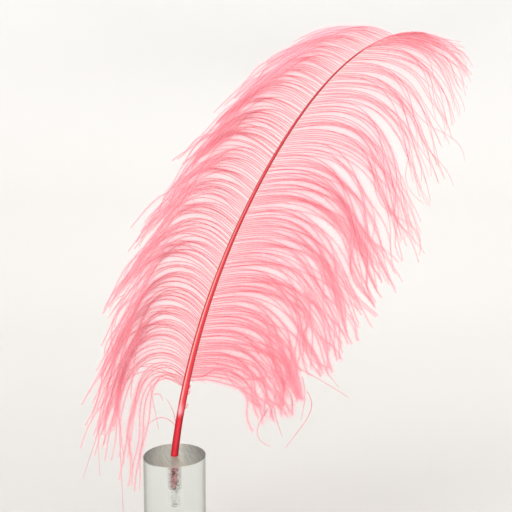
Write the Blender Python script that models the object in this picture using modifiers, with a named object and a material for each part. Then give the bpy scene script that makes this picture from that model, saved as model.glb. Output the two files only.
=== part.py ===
"""A dyed ostrich plume standing by its quill in a clear acrylic rod.

Units are metres and +Z is up. The origin is the centre of the rod's flat foot. The plume leans towards +X
and its tip curls forward, towards -Y. The vanes are plain closed sheets, as large as the barbs they stand for.
"""
import math

import bmesh
import bpy
import numpy as np
from mathutils import Vector

# ---- the acrylic rod ----
ROD_DIAMETER = 0.050
ROD_HEIGHT = 0.100
ROD_EDGE_BREAK = 0.0004      # the small flat that takes the sharpness off both rims
SOCKET_DIAMETER = 0.0072     # upper, rough part of the drilled hole
SOCKET_DEPTH = 0.024
PILOT_DIAMETER = 0.0062      # lower, smooth part of the drilled hole
PILOT_DEPTH = 0.038
DRILL_POINT_DEPTH = 0.040    # where the drill's conical point ends
ROD_FACETS = 72

# ---- the shaft: quill below, rachis above ----
SHAFT_RISE = 0.397           # length of the centreline above the rod, seen from the front
BASE_LEAN = 7.0              # degrees from upright where the shaft leaves the rod
STEADY_BEND = 36.0           # degrees of lean gained evenly along the shaft
TIP_CURL = 60.0              # degrees of lean gained near the tip
TIP_CURL_POWER = 10.0
FORWARD_CURL = 0.030         # how far the tip comes towards -Y
FORWARD_POWER = 2.5
QUILL_RADIUS = 0.0031        # at the rod's top face
TIP_RADIUS = 0.00035
TAPER_POWER = 1.35
QUILL_SUNK = 0.0235          # length of quill inside the rod
SUNK_LEAN = 2.0              # degrees from upright inside the rod
QUILL_END_RADIUS = 0.0024
QUILL_NOSE_LENGTH = 0.0025   # the rounded end of the quill
QUILL_NOSE_RADIUS = 0.0010
SHAFT_STEPS = 44
SUNK_STEPS = 6
SHAFT_BEVEL_RESOLUTION = 4   # twelve sides
CURVE_SAMPLES = 400

# ---- the vanes: rows of barbs that leave the shaft, arch over and droop ----
# Each row of numbers is read at the stations, which run from the lowest barb (0) to the shaft's tip (1).
# Angles are degrees anticlockwise from +X seen from the front; lengths are metres.
LEFT_VANE = {
    "first_barb": 0.142,     # fraction of the shaft's rise where the lowest barb leaves it
    "stations": (0.00, 0.08, 0.20, 0.45, 0.70, 0.88, 0.94),
    "start_angle": (140, 130, 132, 136, 143, 152, 156),
    "droop_angle": (268, 258, 251, 244, 236, 222, 212),
    "bend_length": (0.026, 0.040, 0.048, 0.045, 0.042, 0.039, 0.038),
    "barb_length": (0.090, 0.145, 0.160, 0.138, 0.116, 0.096, 0.088),
    "bend_power": 1.8,
    "side": -1,
}
RIGHT_VANE = {
    "first_barb": 0.156,
    "stations": (0.00, 0.08, 0.25, 0.50, 0.75, 0.90, 1.00),
    "start_angle": (4, 6, 8, 9, 6, 0, -28),
    "droop_angle": (-80, -80, -76, -77, -84, -90, -60),
    "bend_length": (0.063, 0.058, 0.060, 0.060, 0.056, 0.054, 0.034),
    "barb_length": (0.078, 0.090, 0.120, 0.145, 0.150, 0.125, 0.048),
    "bend_power": 2.2,
    "side": 1,
}
VANE_CURL = 0.030            # how far the barb tips come towards -Y from the shaft
VANE_THICKNESS = 0.0012
ROOT_CLEARANCE = 0.0012      # from the shaft's surface to the middle of the sheet's edge
VANE_COLUMNS = 26            # cells along the shaft
VANE_ROWS = 16               # cells along a barb

CLEAR_ACRYLIC = (0.86, 0.88, 0.86, 1.0)
QUILL_RED = (0.80, 0.06, 0.08, 1.0)
BARB_PINK = (1.0, 0.32, 0.38, 1.0)


def clear_scene():
    for obj in list(bpy.data.objects):
        bpy.data.objects.remove(obj, do_unlink=True)


def plain_material(name, colour, roughness, transmission=0.0):
    material = bpy.data.materials.new(name)
    material.use_nodes = True
    shader = material.node_tree.nodes["Principled BSDF"]
    shader.inputs["Base Color"].default_value = colour
    shader.inputs["Roughness"].default_value = roughness
    shader.inputs["Metallic"].default_value = 0.0
    shader.inputs["Transmission Weight"].default_value = transmission
    return material


def add_part(name, data, material, collection):
    obj = bpy.data.objects.new(name, data)
    data.materials.append(material)
    collection.objects.link(obj)
    return obj


# ---- the shaft's centreline ----

def lean_at(fraction):
    """Degrees from upright at a fraction of the shaft's rise."""
    return BASE_LEAN + STEADY_BEND * fraction + TIP_CURL * fraction**TIP_CURL_POWER


def build_centreline():
    """Points of the centreline from the rod's top face to the tip, and the fraction of the rise at each."""
    fractions = np.linspace(0.0, 1.0, CURVE_SAMPLES + 1)
    middles = (fractions[1:] + fractions[:-1]) / 2
    leans = np.radians(lean_at(middles))
    step = SHAFT_RISE / CURVE_SAMPLES
    points = np.zeros((CURVE_SAMPLES + 1, 3))
    points[1:, 0] = np.cumsum(np.sin(leans)) * step
    points[1:, 2] = np.cumsum(np.cos(leans)) * step
    points[:, 1] = -FORWARD_CURL * fractions**FORWARD_POWER
    points[:, 2] += ROD_HEIGHT
    return fractions, points


FRACTIONS, CENTRELINE = build_centreline()


def shaft_point(fraction):
    return np.array([np.interp(fraction, FRACTIONS, CENTRELINE[:, axis]) for axis in range(3)])


def shaft_radius(fraction):
    return TIP_RADIUS + (QUILL_RADIUS - TIP_RADIUS) * (1.0 - fraction) ** TAPER_POWER


def sunk_quill():
    """Points and radii of the quill inside the rod, from its rounded end up to just below the top face."""
    lean = math.radians(SUNK_LEAN)
    down = np.array([-math.sin(lean), 0.0, -math.cos(lean)])
    depths = [QUILL_SUNK, QUILL_SUNK - QUILL_NOSE_LENGTH / 3]
    depths += list(np.linspace(QUILL_SUNK - QUILL_NOSE_LENGTH, 0.0, SUNK_STEPS, endpoint=False))
    points = []
    radii = []
    for depth in depths:
        points.append(CENTRELINE[0] + down * depth)
        narrowing = (QUILL_RADIUS - QUILL_END_RADIUS) * depth / QUILL_SUNK
        radii.append(QUILL_RADIUS - narrowing)
    radii[0] = QUILL_NOSE_RADIUS
    radii[1] = (QUILL_NOSE_RADIUS + QUILL_END_RADIUS) / 2
    return points, radii


# ---- the parts ----

def make_rod(collection):
    """A solid rod turned around Z, with a stepped blind hole drilled down from its top face."""
    outer = ROD_DIAMETER / 2
    socket = SOCKET_DIAMETER / 2
    pilot = PILOT_DIAMETER / 2
    profile = [
        (0.0, ROD_HEIGHT - DRILL_POINT_DEPTH),
        (pilot, ROD_HEIGHT - PILOT_DEPTH),
        (pilot, ROD_HEIGHT - SOCKET_DEPTH),
        (socket, ROD_HEIGHT - SOCKET_DEPTH),
        (socket, ROD_HEIGHT),
        (outer - ROD_EDGE_BREAK, ROD_HEIGHT),
        (outer, ROD_HEIGHT - ROD_EDGE_BREAK),
        (outer, ROD_EDGE_BREAK),
        (outer - ROD_EDGE_BREAK, 0.0),
        (0.0, 0.0),
    ]
    mesh = bpy.data.meshes.new("rod")
    edges = [(i, i + 1) for i in range(len(profile) - 1)]
    mesh.from_pydata([(x, 0.0, z) for x, z in profile], edges, [])
    rod = add_part("stand", mesh, plain_material("clear_acrylic", CLEAR_ACRYLIC, 0.05, 1.0), collection)
    turn = rod.modifiers.new("turn", "SCREW")
    turn.axis = "Z"
    turn.angle = 2 * math.pi
    turn.steps = ROD_FACETS
    turn.render_steps = ROD_FACETS
    turn.use_merge_vertices = True
    turn.merge_threshold = 0.0001
    return rod


def make_shaft(collection):
    """Quill and rachis: one tapered tube along the centreline."""
    points, radii = sunk_quill()
    for fraction in np.linspace(0.0, 1.0, SHAFT_STEPS + 1):
        points.append(shaft_point(fraction))
        radii.append(shaft_radius(fraction))
    curve = bpy.data.curves.new("shaft", "CURVE")
    curve.dimensions = "3D"
    curve.bevel_depth = 1.0
    curve.bevel_resolution = SHAFT_BEVEL_RESOLUTION
    curve.use_fill_caps = True
    line = curve.splines.new("POLY")
    line.points.add(len(points) - 1)
    for spline_point, place, radius in zip(line.points, points, radii):
        spline_point.co = (*place, 1.0)
        spline_point.radius = radius
    return add_part("shaft", curve, plain_material("dyed_quill", QUILL_RED, 0.35), collection)


def barb_line(vane, station):
    """The mean barb at a station of a vane, as points from its root to its tip."""
    fraction = vane["first_barb"] + station * (1.0 - vane["first_barb"])
    start = np.interp(station, vane["stations"], vane["start_angle"])
    droop = np.interp(station, vane["stations"], vane["droop_angle"])
    bend = np.interp(station, vane["stations"], vane["bend_length"])
    length = np.interp(station, vane["stations"], vane["barb_length"])
    along = np.linspace(0.0, length, VANE_ROWS + 1)
    middles = (along[1:] + along[:-1]) / 2
    turned = 1.0 - np.exp(-((middles / bend) ** vane["bend_power"]))
    angles = np.radians(start + (droop - start) * turned)
    lean = math.radians(lean_at(fraction))
    sideways = np.array([math.cos(lean), 0.0, -math.sin(lean)]) * vane["side"]
    root = shaft_point(fraction) + sideways * (shaft_radius(fraction) + ROOT_CLEARANCE)
    points = np.tile(root, (VANE_ROWS + 1, 1))
    step = length / VANE_ROWS
    points[1:, 0] += np.cumsum(np.cos(angles)) * step
    points[1:, 2] += np.cumsum(np.sin(angles)) * step
    points[:, 1] -= VANE_CURL * (along / length) ** 2
    return points


def make_vane(name, vane, collection):
    """One vane: a grid laid along the mean barbs and given a thickness."""
    last = vane["stations"][-1]
    rows = [barb_line(vane, station) for station in np.linspace(0.0, last, VANE_COLUMNS + 1)]
    cage = bmesh.new()
    bmesh.ops.create_grid(cage, x_segments=VANE_ROWS, y_segments=VANE_COLUMNS, size=1.0)
    for vert in cage.verts:
        row = round((vert.co.x + 1.0) / 2.0 * VANE_ROWS)
        column = round((vert.co.y + 1.0) / 2.0 * VANE_COLUMNS)
        vert.co = Vector(rows[column][row])
    mesh = bpy.data.meshes.new(name)
    cage.to_mesh(mesh)
    cage.free()
    sheet = add_part(name, mesh, plain_material("dyed_barbs_" + name, BARB_PINK, 0.8), collection)
    thickness = sheet.modifiers.new("thickness", "SOLIDIFY")
    thickness.thickness = VANE_THICKNESS
    thickness.offset = 0.0
    return sheet


def main():
    clear_scene()
    plume = bpy.data.collections.new("ostrich_feather")
    bpy.context.scene.collection.children.link(plume)
    make_rod(plume)
    make_shaft(plume)
    make_vane("vane_left", LEFT_VANE, plume)
    make_vane("vane_right", RIGHT_VANE, plume)


main()
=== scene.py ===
"""Looks of a dyed ostrich plume standing by its quill in a clear acrylic rod.

Metres, +Z up, front towards -Y. The frame's two vane sheets are replaced by their barbs, and every barb
carries its own fluff of barbules.
"""
import math

import bpy
import numpy as np
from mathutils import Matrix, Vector


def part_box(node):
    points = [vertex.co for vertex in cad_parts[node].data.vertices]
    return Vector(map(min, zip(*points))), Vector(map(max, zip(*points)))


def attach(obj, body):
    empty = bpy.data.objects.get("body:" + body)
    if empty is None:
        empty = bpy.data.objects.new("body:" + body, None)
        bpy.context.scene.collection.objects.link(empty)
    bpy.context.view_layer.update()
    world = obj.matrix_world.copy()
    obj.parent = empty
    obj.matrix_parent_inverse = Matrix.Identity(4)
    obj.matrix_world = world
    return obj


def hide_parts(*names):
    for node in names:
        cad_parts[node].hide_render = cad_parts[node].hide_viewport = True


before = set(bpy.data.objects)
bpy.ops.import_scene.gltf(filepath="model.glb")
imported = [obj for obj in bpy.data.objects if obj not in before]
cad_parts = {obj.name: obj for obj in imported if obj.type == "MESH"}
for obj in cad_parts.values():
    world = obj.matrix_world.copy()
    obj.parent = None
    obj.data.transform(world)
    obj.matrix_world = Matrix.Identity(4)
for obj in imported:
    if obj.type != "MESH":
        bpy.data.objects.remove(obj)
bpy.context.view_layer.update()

SEED = 7
FULL_TURN = 2 * math.pi
BACK = np.array([0.0, 1.0, 0.0])

# ---- places taken from the frame ----
ROD_LOW, ROD_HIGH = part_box("stand")
ROD_TOP = ROD_HIGH.z
ROD_RADIUS = (ROD_HIGH.x - ROD_LOW.x) / 2

# ---- the rod's drilled hole and edges, as the frame has them ----
ROD_EDGE_BREAK = 0.0004
SOCKET_RADIUS = 0.0036
SOCKET_DEPTH = 0.024
PILOT_RADIUS = 0.0031
PILOT_DEPTH = 0.038
DRILL_POINT_DEPTH = 0.040
# Finer than the frame: the worn edge of the hole, and the slope between its two widths.
SOCKET_EDGE_BREAK = 0.00012
SOCKET_STEP = 0.0004
ROD_SEGMENTS = 256

# ---- the shaft's centreline and thickness, as the frame has them ----
SHAFT_RISE = 0.397
BASE_LEAN = 7.0
STEADY_BEND = 36.0
TIP_CURL = 60.0
TIP_CURL_POWER = 10.0
FORWARD_CURL = 0.030
FORWARD_POWER = 2.5
QUILL_RADIUS = 0.0031
TIP_RADIUS = 0.00035
TAPER_POWER = 1.35
QUILL_SUNK = 0.0235
SUNK_LEAN = 2.0
QUILL_END_RADIUS = 0.0024
QUILL_NOSE_LENGTH = 0.0025
QUILL_NOSE_RADIUS = 0.0010
CURVE_SAMPLES = 400

# ---- the shaft's finer shape ----
SHAFT_RINGS = 150
SHAFT_RING_POWER = 1.1       # rings stand a little closer towards the quill
SHAFT_SIDES = 24
NOSE_RINGS = 7
SUNK_RINGS = 10
RACHIS_BEGINS = 0.07         # fraction of the rise where the round quill turns into the ridged rachis
RACHIS_BLEND = 0.05
RACHIS_SWELL = 0.10
RIDGE = (112.0, 0.30, 0.10)  # degrees round the shaft from its right over its front, width in radians, height
GROOVE = (68.0, 0.34, 0.16)
# The scraped patch below the vanes, in fractions of the rise and of the shaft's width.
SCRAPE_LOW, SCRAPE_LOW_FADE = 0.084, 0.006
SCRAPE_HIGH, SCRAPE_HIGH_FADE = 0.116, 0.020
SCRAPE_MIDDLE, SCRAPE_WIDTH = 0.42, 0.26
SUNK_PALE_FROM, SUNK_PALE_FADE = -0.003, 0.008

# ---- the mean barbs, as the frame's vane sheets have them ----
# Read at the stations, from the lowest barb (0) to the shaft's tip (1). Angles are degrees anticlockwise
# from +X seen from the front.
LEFT_VANE = {
    "first_barb": 0.142,
    "stations": (0.00, 0.08, 0.20, 0.45, 0.70, 0.88, 0.94),
    "start_angle": (140, 130, 132, 136, 143, 152, 156),
    "droop_angle": (268, 258, 251, 244, 236, 222, 212),
    "bend_length": (0.026, 0.040, 0.048, 0.045, 0.042, 0.039, 0.038),
    "barb_length": (0.090, 0.145, 0.160, 0.138, 0.116, 0.096, 0.088),
    "bend_power": 1.8,
    "side": -1,
}
RIGHT_VANE = {
    "first_barb": 0.156,
    "stations": (0.00, 0.08, 0.25, 0.50, 0.75, 0.90, 1.00),
    "start_angle": (4, 6, 8, 9, 6, 0, -28),
    "droop_angle": (-80, -80, -76, -77, -84, -90, -60),
    "bend_length": (0.063, 0.058, 0.060, 0.060, 0.056, 0.054, 0.034),
    "barb_length": (0.078, 0.090, 0.120, 0.145, 0.150, 0.125, 0.048),
    "bend_power": 2.2,
    "side": 1,
}
VANE_CURL = 0.030

# ---- barbs outside the two vanes ----
# The barbs that leave the left side of the shaft's last bit sweep over it to the right.
TIP_TUFT = {
    "first_barb": 0.885,
    "stations": (0.00, 0.50, 1.00),
    "start_angle": (14, 2, -20),
    "droop_angle": (-88, -92, -92),
    "bend_length": (0.050, 0.044, 0.028),
    "barb_length": (0.088, 0.076, 0.046),
    "bend_power": 2.0,
    "side": -1,
}
# Single barbs that left the vanes' order, rooted on the shaft: side, fraction of the rise, start angle,
# droop angle, bend length, bend power, length, and how far the tip comes forward.
LOOSE_BARBS = (
    (-1, 0.150, 141, 276, 0.060, 1.9, 0.138, 0.012),
    (-1, 0.146, 140, 252, 0.044, 1.9, 0.135, 0.010),
    (-1, 0.160, 138, 274, 0.046, 2.0, 0.165, 0.018),
    (-1, 0.143, 150, 281, 0.027, 5.0, 0.068, 0.004),
    (-1, 0.066, 98, 122, 0.014, 2.0, 0.022, 0.002),
    (-1, 0.060, 128, 236, 0.017, 2.0, 0.031, 0.004),
)
# Loose tips that hang out of the vanes: the point they leave from, then start angle, droop angle, bend
# length, bend power and length.
LOOSE_TIPS = (
    ((-0.015, -0.004, 0.151), 20, -88, 0.006, 2.0, 0.010),
    ((0.075, -0.020, 0.145), -122, -15, 0.026, 4.0, 0.036),
    ((0.105, -0.020, 0.158), -58, -128, 0.014, 1.8, 0.050),
    ((0.101, -0.020, 0.170), -76, -106, 0.018, 2.0, 0.034),
    ((0.080, -0.020, 0.145), -82, -70, 0.010, 2.0, 0.022),
    ((0.093, -0.020, 0.179), -26, -31, 0.020, 2.0, 0.050),
    ((0.108, -0.020, 0.194), -64, -50, 0.020, 2.0, 0.038),
    ((-0.030, -0.010, 0.241), 172, 256, 0.010, 2.0, 0.019),
    ((-0.036, -0.012, 0.232), 205, 262, 0.012, 2.0, 0.016),
)
LOOSE_TIP_FORWARD = 0.004
# Stubble on the shaft's right side: from and to which fraction of the rise, and how many hairs.
STUBBLE = ((0.098, 0.106, 5), (0.126, 0.148, 12))
STUBBLE_LENGTH = (0.0012, 0.0036)
STUBBLE_BEND = 0.002
STUBBLE_BEND_POWER = 1.5

# ---- how barbs differ from their vane's mean ----
FOREMOST = -0.058            # past this plane a barb keeps only a part of how far it comes forward
FOREMOST_KEPT = 0.3
ROOT_DEPTH = 0.85            # a barb starts inside the shaft, at this part of its radius
MEAN_LENGTH = 0.95           # a barb's length before it differs, as a part of its style's
# Slow waves along the vane, which neighbours share: their size, and how many there are.
SHARED_WAVES = {
    "start": (2.0, 9),
    "droop": (6.5, 20),
    "bend": (0.06, 22),
    "length": (0.06, 24),
    "sway": (2.0, 12),
    "curl": (0.15, 10),
    "forward": (0.006, 22),
}
# Each barb's own scatter, and what a stray barb has on top.
OWN_SCATTER = {"start": 1.3, "bend": 0.10, "sway": 2.5, "forward": 0.0020}
STRAY_SCATTER = {"droop": 9.0, "bend": 0.20, "forward": 0.006}
# Radians of wave along a barb.
SWAY_RIPPLE = 9.0
FRIZZ_RIPPLE = (7.0, 15.0)
RUFFLE_RIPPLE = (6.0, 14.0)
FRIZZ_FROM, FRIZZ_FADE = 0.35, 0.5
RUFFLE_FROM, RUFFLE_FADE = 0.15, 0.85
LOCK_POINT = 0.25            # how much a lock's tips may close up at most
LOCK_POINT_POWER = 5
PLACE_SCATTER = 0.3          # how far a barb's root may be from its even place, in gaps between barbs
TONE_WAVE = (0.35, 30)
TONE_SCATTER = 0.2

# ---- the size of barbs and barbules ----
BARB_STEPS = 26
BARB_ROOT_RADIUS = 0.00021
BARB_TIP_RADIUS = 0.00011
BARB_SIDES = 3
BARBULE_HALF_WIDTH = 0.000040
FEWEST_BARBULES = 4
# Read along the barb: degrees between barbule and barb, and the barbule's size.
BARBULE_TILT = ((0.0, 0.6, 1.0), (50.0, 48.0, 40.0))
BARBULE_SIZE = ((0.0, 0.10, 0.35, 0.70), (0.50, 0.72, 1.0, 0.92))
BARBULE_SIZE_RANGE = (0.5, 1.15)
BARBULE_SWING = (0.40, 0.45)  # radians round the barb towards its back: mean and scatter
ROOT_FRAY = 8.0              # degrees of scatter in the tilt near the barb's root
# In a barb's strip of the colour map: the stem's edge and height, a barbule's corners, and half its width.
STEM_EDGE, STEM_HEIGHT = 0.05, 0.4
BARBULE_STRIP = (0.55, 0.55, 0.95)
BARBULE_STRIP_HALF_WIDTH = 0.004


# ---- small helpers ----

def smooth(x):
    x = np.clip(x, 0.0, 1.0)
    return x * x * (3.0 - 2.0 * x)


def hump(x, middle, width):
    """A smooth bump that is 1 at its middle."""
    return np.exp(-((x - middle) / width) ** 2)


def wander(rng, places, waves):
    """Smooth random values in -1..1 along places in 0..1, with about this many bumps."""
    knots = rng.uniform(-1.0, 1.0, waves + 3)
    x = np.clip(places, 0.0, 1.0) * waves
    cell = np.floor(x).astype(int)
    blend = smooth(x - cell)
    return knots[cell] * (1.0 - blend) + knots[cell + 1] * blend


def unit(vectors):
    return vectors / np.maximum(np.linalg.norm(vectors, axis=-1, keepdims=True), 1e-12)


def lean_at(fraction):
    """The shaft's degrees from upright at a fraction of its rise."""
    return BASE_LEAN + STEADY_BEND * fraction + TIP_CURL * fraction**TIP_CURL_POWER


def build_centreline():
    fractions = np.linspace(0.0, 1.0, CURVE_SAMPLES + 1)
    middles = (fractions[1:] + fractions[:-1]) / 2
    leans = np.radians(lean_at(middles))
    step = SHAFT_RISE / CURVE_SAMPLES
    points = np.zeros((CURVE_SAMPLES + 1, 3))
    points[1:, 0] = np.cumsum(np.sin(leans)) * step
    points[1:, 2] = np.cumsum(np.cos(leans)) * step
    points[:, 1] = -FORWARD_CURL * fractions**FORWARD_POWER
    points[:, 2] += ROD_TOP
    return fractions, points


FRACTIONS, CENTRELINE = build_centreline()


def shaft_points(fractions):
    return np.stack([np.interp(fractions, FRACTIONS, CENTRELINE[:, axis]) for axis in range(3)], axis=-1)


def shaft_radius(fractions):
    return TIP_RADIUS + (QUILL_RADIUS - TIP_RADIUS) * (1.0 - fractions) ** TAPER_POWER


def mesh_object(name, verts, quads, triangles, material, smooth_shade=True):
    """An object from arrays: vertices, quads and triangles. Corners come in that order."""
    mesh = bpy.data.meshes.new(name)
    mesh.vertices.add(len(verts))
    mesh.vertices.foreach_set("co", np.asarray(verts, dtype=np.float32).ravel())
    corners = np.concatenate([quads.ravel(), triangles.ravel()]).astype(np.int32)
    mesh.loops.add(len(corners))
    mesh.loops.foreach_set("vertex_index", corners)
    sizes = np.concatenate([np.full(len(quads), 4), np.full(len(triangles), 3)]).astype(np.int32)
    mesh.polygons.add(len(sizes))
    mesh.polygons.foreach_set("loop_start", (np.cumsum(sizes) - sizes).astype(np.int32))
    mesh.polygons.foreach_set("loop_total", sizes)
    mesh.polygons.foreach_set("use_smooth", np.full(len(sizes), smooth_shade))
    mesh.update(calc_edges=True)
    mesh.materials.append(material)
    made = bpy.data.objects.new(name, mesh)
    bpy.context.scene.collection.objects.link(made)
    return made


def ring_faces(rings, sides):
    """Quads between rings of points, and fans that close the first and the last ring.

    The fans' two middles are the points that follow the rings.
    """
    ring, side = np.meshgrid(np.arange(rings - 1), np.arange(sides), indexing="ij")
    here = ring * sides + side
    beside = ring * sides + (side + 1) % sides
    quads = np.stack([here, beside, beside + sides, here + sides], axis=-1).reshape(-1, 4)
    around = np.arange(sides)
    beyond = (around + 1) % sides
    last = (rings - 1) * sides
    middle = rings * sides
    first_fan = np.stack([np.full(sides, middle), beyond, around], axis=-1)
    last_fan = np.stack([np.full(sides, middle + 1), last + around, last + beyond], axis=-1)
    return quads, np.concatenate([first_fan, last_fan])


def point_values(made, name, values):
    layer = made.data.attributes.new(name, "FLOAT", "POINT")
    layer.data.foreach_set("value", np.asarray(values, dtype=np.float32))


def declare(piece, node_name):
    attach(piece, "root")
    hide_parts(node_name)


# ---- materials ----

BLACK = (0.0, 0.0, 0.0, 1.0)
WHITE = (1.0, 1.0, 1.0, 1.0)


def new_material(name):
    material = bpy.data.materials.new(name)
    material.use_nodes = True
    tree = material.node_tree
    return material, tree, tree.nodes["Principled BSDF"], tree.nodes["Material Output"]


def set_inputs(made, values):
    for key, value in values.items():
        made.inputs[key].default_value = value


def node(tree, kind, values=None, **settings):
    made = tree.nodes.new(kind)
    for key, value in settings.items():
        setattr(made, key, value)
    set_inputs(made, values or {})
    return made


def linked(tree, kind, links, values=None, **settings):
    """A node with some inputs linked from other nodes' sockets."""
    made = node(tree, kind, values, **settings)
    for key, socket in links.items():
        tree.links.new(socket, made.inputs[key])
    return made


def screen(red, green, blue):
    """A colour given in 0..255 screen values, as linear light."""
    def linear(value):
        value = value / 255.0
        return value / 12.92 if value <= 0.04045 else ((value + 0.055) / 1.055) ** 2.4
    return (linear(red), linear(green), linear(blue), 1.0)


def ramp(tree, factor, stops):
    made = tree.nodes.new("ShaderNodeValToRGB")
    elements = made.color_ramp.elements
    while len(elements) < len(stops):
        elements.new(0.5)
    for element, (place, colour) in zip(elements, stops):
        element.position = place
        element.color = colour
    tree.links.new(factor, made.inputs["Fac"])
    return made.outputs["Color"]


def colour_mix(tree, factor, first, second, kind="MIX"):
    """A Mix node set to colours, whose sockets come after the number and vector ones of the same names."""
    made = tree.nodes.new("ShaderNodeMix")
    made.data_type = "RGBA"
    made.blend_type = kind
    wanted = ((made.inputs["Factor"], factor), (made.inputs[6], first), (made.inputs[7], second))
    for socket, value in wanted:
        if isinstance(value, bpy.types.NodeSocket):
            tree.links.new(value, socket)
        else:
            socket.default_value = value
    return made.outputs[2]


def attribute(tree, name):
    return node(tree, "ShaderNodeAttribute", attribute_name=name).outputs["Fac"]


def stretched_noise(tree, stretch, scale, detail=3.0, turned=0.0):
    """Noise drawn out this many times along each axis, the whole turned by these degrees about Z."""
    place = node(tree, "ShaderNodeTexCoord").outputs["Object"]
    mapped = linked(tree, "ShaderNodeMapping", {"Vector": place},
                    {"Scale": stretch, "Rotation": (0.0, 0.0, math.radians(turned))}, vector_type="TEXTURE")
    return linked(tree, "ShaderNodeTexNoise", {"Vector": mapped.outputs["Vector"]},
                  {"Scale": scale, "Detail": detail}).outputs["Fac"]


def barb_material():
    """Dyed barbs and their fluff: light passes through them, and the dye varies from barb to barb."""
    material, tree, shader, output = new_material("dyed_barbs")
    along = attribute(tree, "along")
    tone = attribute(tree, "tone")
    fluff = attribute(tree, "fluff")
    stem = ramp(tree, along, [(0.0, screen(245, 112, 134)), (0.4, screen(246, 100, 122)),
                              (1.0, screen(249, 100, 122))])
    down = ramp(tree, along, [(0.0, screen(255, 219, 227)), (0.45, screen(255, 218, 226)),
                              (1.0, screen(255, 214, 223))])
    base = colour_mix(tree, fluff, stem, down)
    shade = ramp(tree, tone, [(0.0, (1.0, 0.84, 0.87, 1.0)), (0.5, (1.0, 0.94, 0.95, 1.0)), (1.0, WHITE)])
    varied = colour_mix(tree, 1.0, base, shade, "MULTIPLY")
    patch = stretched_noise(tree, (1.0, 1.0, 1.0), 38.0)
    dye = ramp(tree, patch, [(0.35, WHITE), (0.7, (1.0, 0.90, 0.92, 1.0))])
    varied = colour_mix(tree, 1.0, varied, dye, "MULTIPLY")
    set_inputs(shader, {"Roughness": 0.55, "Specular IOR Level": 0.2})
    tree.links.new(varied, shader.inputs["Base Color"])
    through = linked(tree, "ShaderNodeBsdfTranslucent", {"Color": varied})
    mixer = linked(tree, "ShaderNodeMixShader", {1: shader.outputs[0], 2: through.outputs[0]}, {0: 0.5})
    tree.links.new(mixer.outputs[0], output.inputs["Surface"])
    return material


def shaft_material():
    """Dyed horn: a plain red quill, above it a pale ridge between red bands, plain again towards the tip.
    Light is painted in: the darker sides are painted shade, the pale ridge line and a lighter band down the
    front are painted highlights, and the shaft's last bit is painted pale pink to lift the shade the barbs
    cast on it.
    """
    material, tree, shader, output = new_material("dyed_quill")
    along = attribute(tree, "along")
    across = attribute(tree, "across")
    spot = attribute(tree, "spot")
    # Painted light in all three ramps: each darkens the shaft's left and right sides as painted shade and
    # lightens a band down its front as a painted highlight; the middle ramp's pale line along the ridge is a
    # painted highlight too.
    quill = ramp(tree, across, [(0.06, screen(146, 26, 40)), (0.28, screen(216, 42, 54)),
                                (0.55, screen(236, 64, 76)), (0.92, screen(156, 28, 42))])
    bands = ramp(tree, across, [
        (0.03, screen(158, 36, 48)), (0.13, screen(206, 56, 66)), (0.24, screen(232, 76, 84)),
        (0.31, screen(255, 186, 180)), (0.39, screen(255, 180, 174)), (0.46, screen(240, 90, 96)),
        (0.85, screen(222, 62, 76)), (0.97, screen(176, 44, 58)),
    ])
    plain = ramp(tree, across, [(0.05, screen(178, 40, 54)), (0.35, screen(232, 94, 100)),
                                (0.60, screen(216, 74, 86)), (0.95, screen(168, 40, 54))])
    above_quill = ramp(tree, along, [(0.080, BLACK), (0.094, WHITE)])
    upper = ramp(tree, along, [(0.34, BLACK), (0.62, WHITE)])
    base = colour_mix(tree, above_quill, quill, bands)
    base = colour_mix(tree, upper, base, plain)
    streaks = stretched_noise(tree, (1.0, 1.0, 33.0), 2200.0, 2.0)
    grain = ramp(tree, streaks, [(0.3, (0.86, 0.84, 0.84, 1.0)), (0.65, WHITE)])
    base = colour_mix(tree, 1.0, base, grain, "MULTIPLY")
    # Painted light: the shaft's last bit is painted pale pink, lifting the shade that the barbs around it
    # cast there.
    tip_lift_strength = (0.9, 0.9, 0.9, 1.0)
    painted_tip_lift = ramp(tree, along, [(0.88, BLACK), (0.915, tip_lift_strength), (0.975, tip_lift_strength), (0.985, BLACK)])
    base = colour_mix(tree, painted_tip_lift, base, screen(255, 160, 172))
    base = colour_mix(tree, spot, base, screen(255, 178, 186))
    tree.links.new(base, shader.inputs["Base Color"])
    set_inputs(shader, {"Roughness": 0.5, "Specular IOR Level": 0.1, "Subsurface Weight": 0.12,
                        "Subsurface Radius": (0.0015, 0.0005, 0.0004)})
    bump = linked(tree, "ShaderNodeBump", {"Height": streaks}, {"Strength": 0.12, "Distance": 0.0002})
    tree.links.new(bump.outputs["Normal"], shader.inputs["Normal"])
    return material


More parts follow.
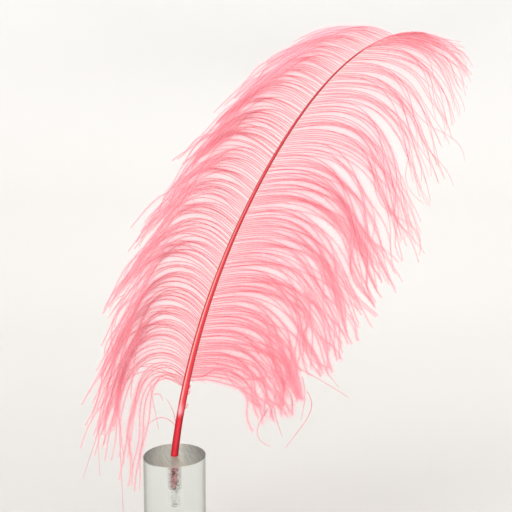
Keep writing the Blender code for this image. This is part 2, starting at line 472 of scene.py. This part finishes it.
def acrylic_material():
    """Clear acrylic: a polished side, painted darker where it is seen edge-on as a painted reflection, sawn
    ends, and a drilled hole whose upper part is torn, its wall speckled with painted dark glints.
    """
    material, tree, shader, output = new_material("clear_acrylic")
    end_face = attribute(tree, "end_face")
    drilled = attribute(tree, "drilled")
    torn = attribute(tree, "torn")
    fine_marks = stretched_noise(tree, (1.0, 20.0, 3.0), 300.0, 4.0, 19.0)
    wide_marks = stretched_noise(tree, (1.0, 8.0, 3.0), 105.0, 2.0, 22.0)
    marks = colour_mix(tree, 0.60, fine_marks, wide_marks)
    sawn = ramp(tree, marks, [(0.43, screen(196, 194, 200)), (0.47, screen(255, 226, 198)),
                              (0.495, screen(180, 184, 192)), (0.525, screen(255, 238, 214)),
                              (0.565, screen(222, 198, 180))])
    # Painted reflection: the polished side's colour darkens towards grazing view, standing in for the dark
    # edges that reflection and refraction give a glass rod.
    grazing = node(tree, "ShaderNodeLayerWeight", {"Blend": 0.5}).outputs["Facing"]
    clear = ramp(tree, grazing, [(0.0, screen(250, 252, 250)), (0.36, screen(247, 249, 246)),
                                 (0.55, screen(230, 228, 223)), (0.68, screen(150, 147, 141)),
                                 (0.85, screen(100, 98, 94))])
    # Painted dark glints: the dark specks in the hole wall's colour stand in for light that the rough drilled
    # wall refracts; the same noise also bumps the wall as its chips.
    chips_and_painted_glints = stretched_noise(tree, (1.0, 1.0, 1.25), 950.0, 2.0)
    torn_frost_painted_glints = ramp(tree, chips_and_painted_glints, [(0.41, screen(60, 50, 50)), (0.46, screen(230, 218, 216)),
                                   (0.60, screen(255, 250, 248))])
    pilot_frost_painted_glints = ramp(tree, chips_and_painted_glints, [(0.36, screen(84, 80, 78)), (0.41, screen(240, 241, 239)),
                                    (1.0, screen(250, 251, 250))])
    hole_frost_painted_glints = colour_mix(tree, torn, pilot_frost_painted_glints, torn_frost_painted_glints)
    base = colour_mix(tree, end_face, clear, sawn)
    base = colour_mix(tree, drilled, base, hole_frost_painted_glints)
    tree.links.new(base, shader.inputs["Base Color"])
    end_rough = linked(tree, "ShaderNodeMath", {0: end_face}, {1: 0.42}, operation="MULTIPLY")
    rough = linked(tree, "ShaderNodeMath", {0: torn, 2: end_rough.outputs[0]}, {1: 0.45},
                   operation="MULTIPLY_ADD")
    tree.links.new(rough.outputs[0], shader.inputs["Roughness"])
    saw_bump = linked(tree, "ShaderNodeBump", {"Height": marks, "Strength": end_face}, {"Distance": 0.0010})
    bump = linked(tree, "ShaderNodeBump", {"Height": chips_and_painted_glints, "Strength": drilled,
                                           "Normal": saw_bump.outputs["Normal"]}, {"Distance": 0.0006})
    tree.links.new(bump.outputs["Normal"], shader.inputs["Normal"])
    set_inputs(shader, {"IOR": 1.49, "Transmission Weight": 1.0})
    inside = node(tree, "ShaderNodeVolumeAbsorption", {"Color": (0.72, 0.82, 0.76, 1.0), "Density": 5.0})
    tree.links.new(inside.outputs[0], output.inputs["Volume"])
    return material


# ---- the rod and the shaft ----

def make_rod(material):
    """The rod's turned profile, from the rim of its foot round to the drill's point."""
    rim = ROD_RADIUS - ROD_EDGE_BREAK
    profile = [(rim, 0.0)]
    profile += [(ROD_RADIUS, z) for z in np.linspace(ROD_EDGE_BREAK, ROD_TOP - ROD_EDGE_BREAK, 12)]
    profile += [(r, ROD_TOP) for r in np.linspace(rim, SOCKET_RADIUS + SOCKET_EDGE_BREAK, 9)]
    profile += [(SOCKET_RADIUS, ROD_TOP - SOCKET_EDGE_BREAK), (SOCKET_RADIUS, ROD_TOP - SOCKET_DEPTH)]
    profile += [(PILOT_RADIUS, ROD_TOP - SOCKET_DEPTH - SOCKET_STEP), (PILOT_RADIUS, ROD_TOP - PILOT_DEPTH)]
    turns = np.linspace(0.0, FULL_TURN, ROD_SEGMENTS, endpoint=False)
    verts = [(r * math.cos(a), r * math.sin(a), z) for r, z in profile for a in turns]
    verts += [(0.0, 0.0, 0.0), (0.0, 0.0, ROD_TOP - DRILL_POINT_DEPTH)]
    verts = np.asarray(verts)
    quads, fans = ring_faces(len(profile), ROD_SEGMENTS)
    rod = mesh_object("acrylic_rod", verts, quads, fans, material)
    rod.data.set_sharp_from_angle(angle=math.radians(20.0))
    radius = np.linalg.norm(verts[:, :2], axis=1)
    height = verts[:, 2]
    at_end = (height < ROD_EDGE_BREAK / 2) | (height > ROD_TOP - SOCKET_EDGE_BREAK / 2)
    on_end_face = at_end & (radius < ROD_RADIUS - ROD_EDGE_BREAK / 2)
    below_top = ROD_TOP - height - SOCKET_EDGE_BREAK
    in_hole = (radius < SOCKET_RADIUS + SOCKET_EDGE_BREAK / 2) & (below_top < DRILL_POINT_DEPTH)
    point_values(rod, "end_face", on_end_face.astype(float))
    point_values(rod, "drilled", in_hole.astype(float))
    point_values(rod, "torn", (in_hole & (below_top < SOCKET_DEPTH)).astype(float))
    declare(rod, "stand")


def shaft_route():
    """Points, radii and fractions of the rise, from the quill's rounded end in the rod to the shaft's tip."""
    lean = math.radians(SUNK_LEAN)
    down = np.array([-math.sin(lean), 0.0, -math.cos(lean)])
    turn = np.linspace(0.0, math.pi / 2, NOSE_RINGS)
    depths = list(QUILL_SUNK - QUILL_NOSE_LENGTH * (1.0 - np.cos(turn)))
    radii = list(QUILL_NOSE_RADIUS + (QUILL_END_RADIUS - QUILL_NOSE_RADIUS) * np.sin(turn))
    for depth in np.linspace(QUILL_SUNK - QUILL_NOSE_LENGTH, 0.0, SUNK_RINGS + 2)[1:-1]:
        depths.append(depth)
        radii.append(QUILL_RADIUS - (QUILL_RADIUS - QUILL_END_RADIUS) * depth / QUILL_SUNK)
    depths = np.array(depths)
    fractions = np.linspace(0.0, 1.0, SHAFT_RINGS) ** SHAFT_RING_POWER
    points = np.concatenate([CENTRELINE[0] + down * depths[:, None], shaft_points(fractions)])
    radii = np.concatenate([radii, shaft_radius(fractions)])
    return points, radii, np.concatenate([-depths / SHAFT_RISE, fractions])


def pale_places(along, across, facing):
    """Where the shaft's dye is thin: the scraped patch on its front, and the part sunk in the rod."""
    low = smooth((along - SCRAPE_LOW) / SCRAPE_LOW_FADE)
    high = smooth((SCRAPE_HIGH - along) / SCRAPE_HIGH_FADE)
    scraped = low * high * hump(across, SCRAPE_MIDDLE, SCRAPE_WIDTH) * smooth(facing * 2.0)
    return np.maximum(scraped, smooth((SUNK_PALE_FROM - along) / SUNK_PALE_FADE))


def make_shaft(material):
    """A round quill that turns into a ridged rachis where the vanes begin."""
    points, radii, fractions = shaft_route()
    tangent = unit(np.gradient(points, axis=0))
    side = unit(np.cross(tangent, BACK))
    front = unit(np.cross(side, tangent))
    front = front * -np.sign(front[:, 1:2])
    right = side * np.sign(side[:, 0:1])
    turns = np.linspace(0.0, FULL_TURN, SHAFT_SIDES, endpoint=False)
    ridge = RIDGE[2] * hump(turns, math.radians(RIDGE[0]), RIDGE[1])
    groove = GROOVE[2] * hump(turns, math.radians(GROOVE[0]), GROOVE[1])
    rachis = smooth((fractions - RACHIS_BEGINS) / RACHIS_BLEND)[:, None]
    reach = radii[:, None] * (1.0 + rachis * (ridge - groove + RACHIS_SWELL)[None])
    outline = (points[:, None] + right[:, None] * (np.cos(turns)[None] * reach)[..., None]
               + front[:, None] * (np.sin(turns)[None] * reach)[..., None])
    rings = len(points)
    quads, fans = ring_faces(rings, SHAFT_SIDES)
    verts = np.concatenate([outline.reshape(-1, 3), points[:1], points[-1:]])
    shaft = mesh_object("rachis", verts, quads, fans, material)
    across = np.concatenate([np.tile(0.5 + 0.5 * np.cos(turns), rings), [0.5, 0.5]])
    along = np.concatenate([np.repeat(fractions, SHAFT_SIDES), fractions[[0, -1]]])
    facing = np.concatenate([np.tile(np.sin(turns), rings), [0.0, 0.0]])
    point_values(shaft, "along", np.clip(along, 0.0, 1.0))
    point_values(shaft, "across", across)
    point_values(shaft, "spot", pale_places(along, across, facing))
    declare(shaft, "shaft")


# ---- how each vane's barbs gather, reach and carry their fluff ----

def steady(value):
    """A paired row with the same value at every station."""
    return ((0.0, 1.0), (value, value))


# Plain rows:
#   lock_size, lock_pull  how many barbs a lock has, and how tightly it closes
#   lock_begins, strays   where along its barbs a lock begins, and the part of the barbs that are in none
#   in_front              metres that the barbs lie in front of the vane
#   spacing, longest      metres between a barb's barbules, and the length of the longest
# Paired rows are read at a barb's station along its vane:
#   reach, bend           the barb's length and bend length, as a part of the vane's mean
#   uneven                how much shorter than that a barb may be
#   disorder, frizz       degrees that barbs differ in droop, and that their outer parts wave
#   ruffle                metres that a barb waves in and out of its lock
#   stout, tone           the stem's thickness, and how light its dye is
#   density, outer        how many barbules there are, and the part of them that is left near the barb's tip
#   fluff_size, tip_fluff the barbules' length, and their length near the barb's tip
#   fray                  degrees that the barbules' tilt differs
LEFT_STYLE = {
    "barbs": 185,
    "pieces": 3,
    "lock_size": (4, 8),
    "lock_pull": (0.0, 0.32),
    "lock_begins": (0.15, 0.50),
    "strays": 0.05,
    "in_front": 0.0,
    "reach": ((0.0, 0.05, 0.12, 0.25, 0.5, 0.8, 1.0), (1.20, 1.04, 0.90, 0.80, 0.71, 0.88, 0.79)),
    "bend": ((0.0, 0.6, 0.95), (1.0, 1.0, 0.84)),
    "uneven": ((0.0, 1.0), (0.08, 0.06)),
    "disorder": ((0.0, 0.5, 0.95), (6.0, 6.0, 2.5)),
    "frizz": ((0.0, 0.15, 0.5, 0.95), (12.0, 10.0, 7.0, 3.0)),
    "ruffle": ((0.0, 0.5, 0.95), (0.0022, 0.0014, 0.0007)),
    "stout": ((0.0, 0.6, 0.95), (1.0, 1.0, 0.65)),
    "tone": ((0.0, 0.7, 1.0), (0.15, 0.1, 0.4)),
    "spacing": 0.000068,
    "longest": 0.0067,
    "density": ((0.0, 0.15, 0.5, 0.95), (1.15, 1.20, 1.15, 1.15)),
    "outer": ((0.0, 0.2, 0.5, 0.95), (0.95, 0.90, 0.85, 0.90)),
    "fluff_size": ((0.0, 0.3, 0.8, 0.95), (1.0, 0.95, 0.90, 0.60)),
    "tip_fluff": ((0.0, 1.0), (0.5, 0.25)),
    "fray": ((0.0, 0.3, 1.0), (24.0, 18.0, 12.0)),
}
RIGHT_STYLE = {
    "barbs": 190,
    "pieces": 3,
    "lock_size": (4, 9),
    "lock_pull": (0.0, 0.30),
    "lock_begins": (0.15, 0.45),
    "strays": 0.09,
    "in_front": 0.0,
    "reach": ((0.0, 0.12, 0.3, 0.6, 0.8, 0.93, 1.0), (1.06, 1.12, 1.12, 1.05, 0.86, 0.74, 0.45)),
    "bend": steady(1.0),
    "uneven": ((0.0, 0.3, 1.0), (0.17, 0.10, 0.06)),
    "disorder": ((0.0, 0.3, 0.8, 1.0), (14.0, 10.0, 9.0, 5.0)),
    "frizz": ((0.0, 0.3, 0.7, 1.0), (22.0, 18.0, 11.0, 5.0)),
    "ruffle": ((0.0, 0.3, 1.0), (0.0048, 0.0034, 0.0012)),
    "stout": ((0.0, 0.6, 0.85, 1.0), (1.0, 0.95, 0.80, 0.60)),
    "tone": ((0.0, 0.3, 1.0), (-0.2, 0.1, 0.4)),
    "spacing": 0.000070,
    "longest": 0.0072,
    "density": ((0.0, 0.2, 0.5, 0.8, 1.0), (1.70, 1.45, 1.20, 0.68, 0.65)),
    "outer": ((0.0, 0.2, 0.5, 0.75, 1.0), (1.0, 1.0, 0.90, 0.35, 0.25)),
    "fluff_size": ((0.0, 0.3, 0.7, 1.0), (1.05, 1.05, 1.0, 0.80)),
    "tip_fluff": ((0.0, 0.4, 1.0), (1.1, 0.45, 0.15)),
    "fray": ((0.0, 0.3, 1.0), (34.0, 24.0, 12.0)),
}
TUFT_STYLE = {
    "barbs": 17,
    "pieces": 1,
    "lock_size": (3, 6),
    "lock_pull": (0.1, 0.3),
    "lock_begins": (0.3, 0.5),
    "strays": 0.1,
    "in_front": 0.0014,
    "reach": steady(0.98),
    "bend": steady(1.0),
    "uneven": steady(0.10),
    "disorder": steady(6.0),
    "frizz": steady(6.0),
    "ruffle": steady(0.0008),
    "stout": steady(0.6),
    "tone": steady(0.5),
    "spacing": 0.000072,
    "longest": 0.0050,
    "density": steady(0.75),
    "outer": steady(0.7),
    "fluff_size": steady(1.0),
    "tip_fluff": steady(0.4),
    "fray": steady(12.0),
}
LOOSE_STYLE = {
    "stout": steady(1.0),
    "spacing": 0.000075,
    "longest": 0.0020,
    "density": steady(1.0),
    "outer": steady(0.8),
    "fluff_size": steady(1.0),
    "tip_fluff": steady(0.3),
    "fray": steady(12.0),
}


# ---- barbs ----

def barb_paths(vane, places, rng, style):
    """One path per barb, from its root on the shaft to its tip: (barbs, points, 3)."""
    count = len(places)

    def mean(key):
        return np.interp(places, vane["stations"], vane[key])

    def shared(key):
        size, waves = SHARED_WAVES[key]
        return size * wander(rng, places, waves)

    def own(key):
        return rng.normal(0.0, OWN_SCATTER[key], count)

    fraction = vane["first_barb"] + places * (1.0 - vane["first_barb"])
    start = mean("start_angle") + shared("start") + own("start")
    disorder = rng.normal(0.0, 1.0, count) * np.interp(places, *style["disorder"])
    droop = mean("droop_angle") + shared("droop") + disorder
    bend = mean("bend_length") * np.interp(places, *style["bend"])
    bend = bend * (1.0 + shared("bend") + own("bend"))
    uneven = shared("length")
    uneven = uneven - np.abs(rng.normal(0.0, 1.0, count)) * np.interp(places, *style["uneven"])
    length = mean("barb_length") * np.interp(places, *style["reach"]) * (MEAN_LENGTH + uneven)
    stray = rng.random(count) < style["strays"]
    droop = droop + stray * rng.normal(0.0, STRAY_SCATTER["droop"], count)
    bend = bend * (1.0 + stray * rng.uniform(0.0, STRAY_SCATTER["bend"], count))
    u = np.linspace(0.0, 1.0, BARB_STEPS + 1)
    middles = ((u[1:] + u[:-1]) / 2)[None]
    turned = 1.0 - np.exp(-((middles * length[:, None] / bend[:, None]) ** vane["bend_power"]))
    angles = start[:, None] + (droop - start)[:, None] * turned
    phase = rng.uniform(0.0, FULL_TURN, (count, 1))
    sway = (own("sway") + shared("sway"))[:, None]
    angles = angles + sway * np.sin(phase + middles * SWAY_RIPPLE) * middles
    frizz = rng.normal(0.0, 1.0, (count, 1)) * np.interp(places, *style["frizz"])[:, None]
    ripple = rng.uniform(*FRIZZ_RIPPLE, (count, 1))
    frizz = frizz * np.sin(phase + middles * ripple)
    angles = np.radians(angles + frizz * smooth((middles - FRIZZ_FROM) / FRIZZ_FADE))
    step = (length / BARB_STEPS)[:, None]
    lean = np.radians(lean_at(fraction))
    sideways = np.stack([np.cos(lean), np.zeros(count), -np.sin(lean)], axis=-1) * vane["side"]
    roots = shaft_points(fraction) + sideways * shaft_radius(fraction)[:, None] * ROOT_DEPTH
    paths = np.repeat(roots[:, None], len(u), axis=1)
    paths[:, 1:, 0] += np.cumsum(np.cos(angles), axis=1) * step
    paths[:, 1:, 2] += np.cumsum(np.sin(angles), axis=1) * step
    curl = VANE_CURL * (1.0 + shared("curl"))
    aside = shared("forward") + own("forward") + stray * rng.normal(0.0, STRAY_SCATTER["forward"], count)
    paths[:, :, 1] += -curl[:, None] * u[None] ** 2 + aside[:, None] * u[None] ** 1.4
    held_back = FOREMOST - FOREMOST_KEPT * (FOREMOST - paths[:, :, 1])
    paths[:, :, 1] = np.maximum(paths[:, :, 1], held_back) - style["in_front"]
    return paths, length, stray


def gather_locks(paths, stray, rng, style):
    """Neighbouring barbs cling together towards their tips and form pointed locks."""
    count = len(paths)
    u = np.linspace(0.0, 1.0, paths.shape[1])
    first = 0
    while first < count:
        size = int(rng.integers(style["lock_size"][0], style["lock_size"][1] + 1))
        members = np.arange(first, min(first + size, count))
        first += size
        members = members[~stray[members]]
        if len(members) < 2:
            continue
        heart = paths[members].mean(axis=0)
        begins = rng.uniform(*style["lock_begins"])
        pull = rng.uniform(*style["lock_pull"]) * smooth((u - begins) / (1.0 - begins))
        pull = pull + (1.0 - pull) * rng.uniform(0.0, LOCK_POINT) * u**LOCK_POINT_POWER
        paths[members] += (heart[None] - paths[members]) * pull[None, :, None]
    return paths


def ruffle(paths, places, rng, style):
    """The outer part of each barb waves a little on its own, in and out of its lock."""
    count = len(paths)
    u = np.linspace(0.0, 1.0, paths.shape[1])[None]
    normal = np.cross(unit(np.gradient(paths, axis=1)), BACK)
    reach = rng.normal(0.0, 1.0, (count, 1)) * np.interp(places, *style["ruffle"])[:, None]
    phase = rng.uniform(0.0, FULL_TURN, (count, 1))
    ripple = rng.uniform(*RUFFLE_RIPPLE, (count, 1))
    wave = reach * (np.sin(phase + u * ripple) - np.sin(phase)) * smooth((u - RUFFLE_FROM) / RUFFLE_FADE)
    return paths + normal * wave[..., None]


def barb_tubes(paths, stoutness):
    """Three-sided tapered tubes: vertices, quads, and each quad corner's place in the barb's colour strip."""
    count, points, _ = paths.shape
    tangent = unit(np.gradient(paths, axis=1))
    across = unit(np.cross(tangent, BACK))
    outward = np.cross(across, tangent)
    u = np.linspace(0.0, 1.0, points)
    radius = (BARB_ROOT_RADIUS + (BARB_TIP_RADIUS - BARB_ROOT_RADIUS) * u)[None] * stoutness[:, None]
    corners = []
    for turn in range(BARB_SIDES):
        angle = FULL_TURN * turn / BARB_SIDES
        offset = across * math.cos(angle) + outward * math.sin(angle)
        corners.append(paths + offset * radius[..., None])
    verts = np.stack(corners, axis=2).reshape(-1, 3)
    grid = (np.arange(count), np.arange(points - 1), np.arange(BARB_SIDES))
    barb, point, side = np.meshgrid(*grid, indexing="ij")
    here = (barb * points + point) * BARB_SIDES
    above = here + BARB_SIDES
    following = (side + 1) % BARB_SIDES
    quads = np.stack([here + side, here + following, above + following, above + side], axis=-1)
    strip_u = np.stack([u[point], u[point], u[point + 1], u[point + 1]], axis=-1).reshape(-1)
    turned = (side[..., None] + np.array([0, 1, 1, 0])) / BARB_SIDES
    strip_v = (barb[..., None] + turned * STEM_HEIGHT + STEM_EDGE) / count
    return verts, quads.reshape(-1, 4), np.stack([strip_u, strip_v.reshape(-1)], axis=-1)


def barbules(paths, lengths, places, rng, style):
    """Fluff: one thin blade for each barbule, on alternate sides, leaning to the barb's tip and its back.

    Gives their vertices, each one's barb and place along it, and their corners in the barb's colour strip.
    """
    def styled(key):
        return np.interp(places, *style[key])

    count, points, _ = paths.shape
    number = np.maximum((lengths / style["spacing"] * styled("density")).astype(int), FEWEST_BARBULES)
    barb = np.repeat(np.arange(count), number)
    order = np.arange(len(barb)) - np.repeat(np.cumsum(number) - number, number)
    u = (order + rng.random(len(barb))) / number[barb]
    missing = (styled("outer")[barb] - 1.0) * smooth((u - 0.2) / 0.6)
    kept = rng.random(len(barb)) < 1.0 + missing
    barb, order, u = barb[kept], order[kept], u[kept]
    x = u * (points - 1)
    cell = np.minimum(x.astype(int), points - 2)
    blend = (x - cell)[:, None]
    root = paths[barb, cell] * (1 - blend) + paths[barb, cell + 1] * blend
    tangent = unit(paths[barb, cell + 1] - paths[barb, cell])
    across = unit(np.cross(tangent, BACK))
    backward = np.cross(across, tangent)
    backward = backward * np.sign(backward[:, 1:2])
    swing = rng.normal(*BARBULE_SWING, len(barb))
    roll = np.where(order % 2 == 0, swing, math.pi - swing)
    fray = ROOT_FRAY + (styled("fray")[barb] - ROOT_FRAY) * smooth(u / 0.6)
    tilt = np.radians(np.interp(u, *BARBULE_TILT) + rng.normal(0.0, 1.0, len(barb)) * fray)
    away = across * np.cos(roll)[:, None] + backward * np.sin(roll)[:, None]
    direction = tangent * np.cos(tilt)[:, None] + away * np.sin(tilt)[:, None]
    size = style["longest"] * np.interp(u, *BARBULE_SIZE)
    size = size * (1.0 - (1.0 - styled("tip_fluff")[barb]) * smooth((u - 0.65) / 0.35))
    size = size * rng.uniform(*BARBULE_SIZE_RANGE, len(barb)) * styled("fluff_size")[barb]
    width = unit(np.cross(direction, unit(rng.normal(0.0, 1.0, (len(barb), 3))))) * BARBULE_HALF_WIDTH
    verts = np.stack([root - width, root + width, root + direction * size[:, None]], axis=1).reshape(-1, 3)
    strip_u = np.stack([u - BARBULE_STRIP_HALF_WIDTH, u + BARBULE_STRIP_HALF_WIDTH, u], axis=-1)
    strip_v = (barb[:, None] + np.array(BARBULE_STRIP)) / count
    return verts, barb, u, np.stack([strip_u.reshape(-1), strip_v.reshape(-1)], axis=-1)


def fibre_piece(name, node_name, paths, lengths, places, tones, rng, material, style):
    """One mesh of barbs with their fluff. Its colour map has a strip for each barb."""
    tube_verts, quads, tube_strip = barb_tubes(paths, np.interp(places, *style["stout"]))
    blade_verts, blade_barb, blade_u, blade_strip = barbules(paths, lengths, places, rng, style)
    count, points, _ = paths.shape
    triangles = np.arange(len(blade_verts)).reshape(-1, 3) + len(tube_verts)
    piece = mesh_object(name, np.concatenate([tube_verts, blade_verts]), quads, triangles, material, False)
    strip = piece.data.uv_layers.new(name="OFBake")
    strip.data.foreach_set("uv", np.concatenate([tube_strip, blade_strip]).astype(np.float32).ravel())
    tube_along = np.repeat(np.tile(np.linspace(0.0, 1.0, points), count), BARB_SIDES)
    tube_tone = np.repeat(tones, points * BARB_SIDES)
    point_values(piece, "along", np.concatenate([tube_along, np.repeat(blade_u, 3)]))
    point_values(piece, "tone", np.concatenate([tube_tone, np.repeat(tones[blade_barb], 3)]))
    point_values(piece, "fluff", np.concatenate([np.zeros(len(tube_verts)), np.ones(len(blade_verts))]))
    declare(piece, node_name)


def make_vane(vane, node_name, label, material, style, seed):
    rng = np.random.default_rng(seed)
    count = style["barbs"]
    pieces = style["pieces"]
    last = vane["stations"][-1]
    places = (np.arange(count) + 0.5 + rng.uniform(-PLACE_SCATTER, PLACE_SCATTER, count)) / count * last
    paths, lengths, stray = barb_paths(vane, places, rng, style)
    paths = gather_locks(paths, stray, rng, style)
    paths = ruffle(paths, places, rng, style)
    wave, waves = TONE_WAVE
    tones = 0.5 + wave * wander(rng, places, waves) + rng.normal(0.0, TONE_SCATTER, count)
    tones = np.clip(tones + np.interp(places, *style["tone"]), 0.0, 1.0)
    for part, members in enumerate(np.array_split(np.arange(count), pieces)):
        name = f"barbs_{label}_{part + 1}" if pieces > 1 else f"barbs_{label}"
        fibre_piece(name, node_name, paths[members], lengths[members], places[members], tones[members], rng,
                    material, style)


def curved_path(start, start_angle, droop_angle, bend, power, length, forward):
    """A single barb that turns from its start angle to its droop angle and comes forward by this much."""
    u = np.linspace(0.0, 1.0, BARB_STEPS + 1)
    middles = (u[1:] + u[:-1]) / 2 * length
    turned = 1.0 - np.exp(-((middles / bend) ** power))
    angles = np.radians(start_angle + (droop_angle - start_angle) * turned)
    path = np.repeat(np.asarray(start, dtype=float)[None], len(u), axis=0)
    path[1:, 0] += np.cumsum(np.cos(angles)) * length / BARB_STEPS
    path[1:, 2] += np.cumsum(np.sin(angles)) * length / BARB_STEPS
    path[:, 1] -= forward * u**2
    return path


def stubble_hair(fraction, rng):
    """A short hair on the shaft's right side, and its length."""
    out = np.array([1.0, -0.3, -0.2]) * shaft_radius(fraction) * 0.9
    length = rng.uniform(*STUBBLE_LENGTH)
    start_angle = rng.uniform(-30.0, 40.0)
    droop_angle = rng.uniform(40.0, 120.0)
    path = curved_path(shaft_points(fraction) + out, start_angle, droop_angle, STUBBLE_BEND,
                       STUBBLE_BEND_POWER, length, 0.0)
    return path, length


def make_loose_barbs(material, seed):
    """The barbs and tips that left the vanes' order, and the stubble on the shaft below them."""
    rng = np.random.default_rng(seed)
    paths = []
    lengths = []
    for side, fraction, *shape, length, forward in LOOSE_BARBS:
        lean = math.radians(lean_at(fraction))
        sideways = np.array([math.cos(lean), 0.0, -math.sin(lean)]) * side
        root = shaft_points(fraction) + sideways * shaft_radius(fraction) * ROOT_DEPTH
        paths.append(curved_path(root, *shape, length, forward))
        lengths.append(length)
    for start, *shape, length in LOOSE_TIPS:
        paths.append(curved_path(start, *shape, length, LOOSE_TIP_FORWARD))
        lengths.append(length)
    for fraction in np.concatenate([rng.uniform(*stretch) for stretch in STUBBLE]):
        path, length = stubble_hair(fraction, rng)
        paths.append(path)
        lengths.append(length)
    count = len(paths)
    fibre_piece("barbs_loose", "vane_left", np.stack(paths), np.array(lengths), np.zeros(count),
                np.full(count, 0.5), rng, material, LOOSE_STYLE)


# ---- stage ----

FLOOR_FACETS = 96
FLOOR_GAP = 0.0002           # the floor is this far below the rod's foot


def make_stage():
    """A pale floor that curves up into a round wall, so that no edge shows from any side."""
    flat, bend, wall = 1.1, 0.8, 2.6
    profile = [(0.0, 0.0), (flat, 0.0)]
    for turn in np.linspace(0.0, math.pi / 2, 17)[1:]:
        profile.append((flat + bend * math.sin(turn), bend - bend * math.cos(turn)))
    profile.append((flat + bend, wall))
    mesh = bpy.data.meshes.new("floor")
    mesh.from_pydata([(x, 0.0, z) for x, z in profile], [(i, i + 1) for i in range(len(profile) - 1)], [])
    floor = bpy.data.objects.new("floor", mesh)
    bpy.context.scene.collection.objects.link(floor)
    turned = floor.modifiers.new("turn", "SCREW")
    turned.steps = FLOOR_FACETS
    turned.render_steps = FLOOR_FACETS
    turned.use_merge_vertices = True
    turned.merge_threshold = 0.0001
    turned.use_smooth_shade = True
    floor.location.z = -FLOOR_GAP
    mesh.materials.append(floor_material())


def floor_material():
    """Matt paper with a painted falloff: darker round the object as painted shade, and paler further from it
    and up the wall.
    """
    material, tree, shader, output = new_material("pale_floor")
    place = node(tree, "ShaderNodeTexCoord").outputs["Object"]
    away = linked(tree, "ShaderNodeVectorMath", {0: place}, operation="LENGTH")
    further = linked(tree, "ShaderNodeMath", {0: away.outputs["Value"]}, {1: 0.4}, operation="MULTIPLY")
    # Painted shade: the floor and wall darken towards the object and grow paler with distance from it.
    pale = ramp(tree, further.outputs[0], [
        (0.05, (0.450, 0.442, 0.428, 1.0)),
        (0.45, (0.550, 0.540, 0.523, 1.0)),
        (0.70, (0.605, 0.595, 0.582, 1.0)),
        (0.95, (0.790, 0.790, 0.785, 1.0)),
    ])
    tree.links.new(pale, shader.inputs["Base Color"])
    set_inputs(shader, {"Roughness": 0.9, "Specular IOR Level": 0.1})
    return material


def area_light(name, place, target, size, power):
    data = bpy.data.lights.new(name, "AREA")
    data.shape = "DISK"
    data.size = size
    data.energy = power
    light = bpy.data.objects.new(name, data)
    light.location = place
    light.rotation_euler = (Vector(target) - Vector(place)).to_track_quat("-Z", "Y").to_euler()
    bpy.context.scene.collection.objects.link(light)


def make_lights():
    plume_middle = (0.06, 0.0, 0.28)
    area_light("key", (-0.9, -1.0, 1.5), plume_middle, size=1.0, power=15.8)
    area_light("fill", (1.1, -0.7, 1.0), plume_middle, size=1.0, power=5.9)
    area_light("back", (0.2, 1.2, 1.5), plume_middle, size=1.2, power=9.4)
    world = bpy.data.worlds.new("studio")
    world.use_nodes = True
    set_inputs(world.node_tree.nodes["Background"], {"Color": (1.0, 0.99, 0.98, 1.0), "Strength": 1.85})
    bpy.context.scene.world = world


def make_camera():
    """In front of the plume's middle, a little above it, looking down by 5 degrees."""
    data = bpy.data.cameras.new("camera")
    data.sensor_width = 36.0
    data.lens = 45.7
    camera = bpy.data.objects.new("camera", data)
    camera.location = (0.0657, -0.508, ROD_TOP + 0.2054)
    camera.rotation_euler = (math.radians(90.0 - 5.0), 0.0, 0.0)
    bpy.context.scene.collection.objects.link(camera)
    bpy.context.scene.camera = camera


def main():
    make_camera()
    barbs = barb_material()
    make_vane(LEFT_VANE, "vane_left", "left", barbs, LEFT_STYLE, SEED)
    make_vane(RIGHT_VANE, "vane_right", "right", barbs, RIGHT_STYLE, SEED + 1)
    make_vane(TIP_TUFT, "vane_right", "tip", barbs, TUFT_STYLE, SEED + 2)
    make_loose_barbs(barbs, SEED + 3)
    make_shaft(shaft_material())
    make_rod(acrylic_material())
    make_stage()
    make_lights()
    bpy.context.scene.view_settings.view_transform = "Standard"


main()
